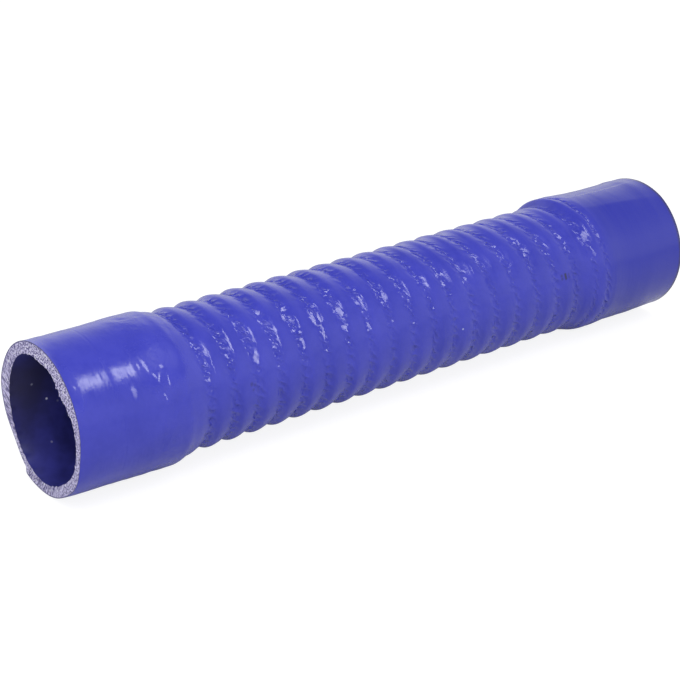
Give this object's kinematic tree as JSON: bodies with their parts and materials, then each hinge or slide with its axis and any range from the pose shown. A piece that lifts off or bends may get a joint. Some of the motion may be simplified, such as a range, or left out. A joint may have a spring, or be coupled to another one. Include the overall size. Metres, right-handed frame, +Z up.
{
  "type": "silicone coolant hose",
  "caption": "Straight silicone coolant hose with a spirally corrugated body and plain cuffs for hose clamps, lying on its side.",
  "frame": {"origin": "on the surface that the hose lies on, under the middle of its length", "axes": "+X along the hose, from the near end to the far end; +Z up; -Y is the side that the picture shows"},
  "size_m": [0.32, 0.0632, 0.0632],
  "materials": {
    "blue_silicone": "satin"
  },
  "bodies": {
    "root": {"hose": "blue_silicone"}
  },
  "joints": []
}
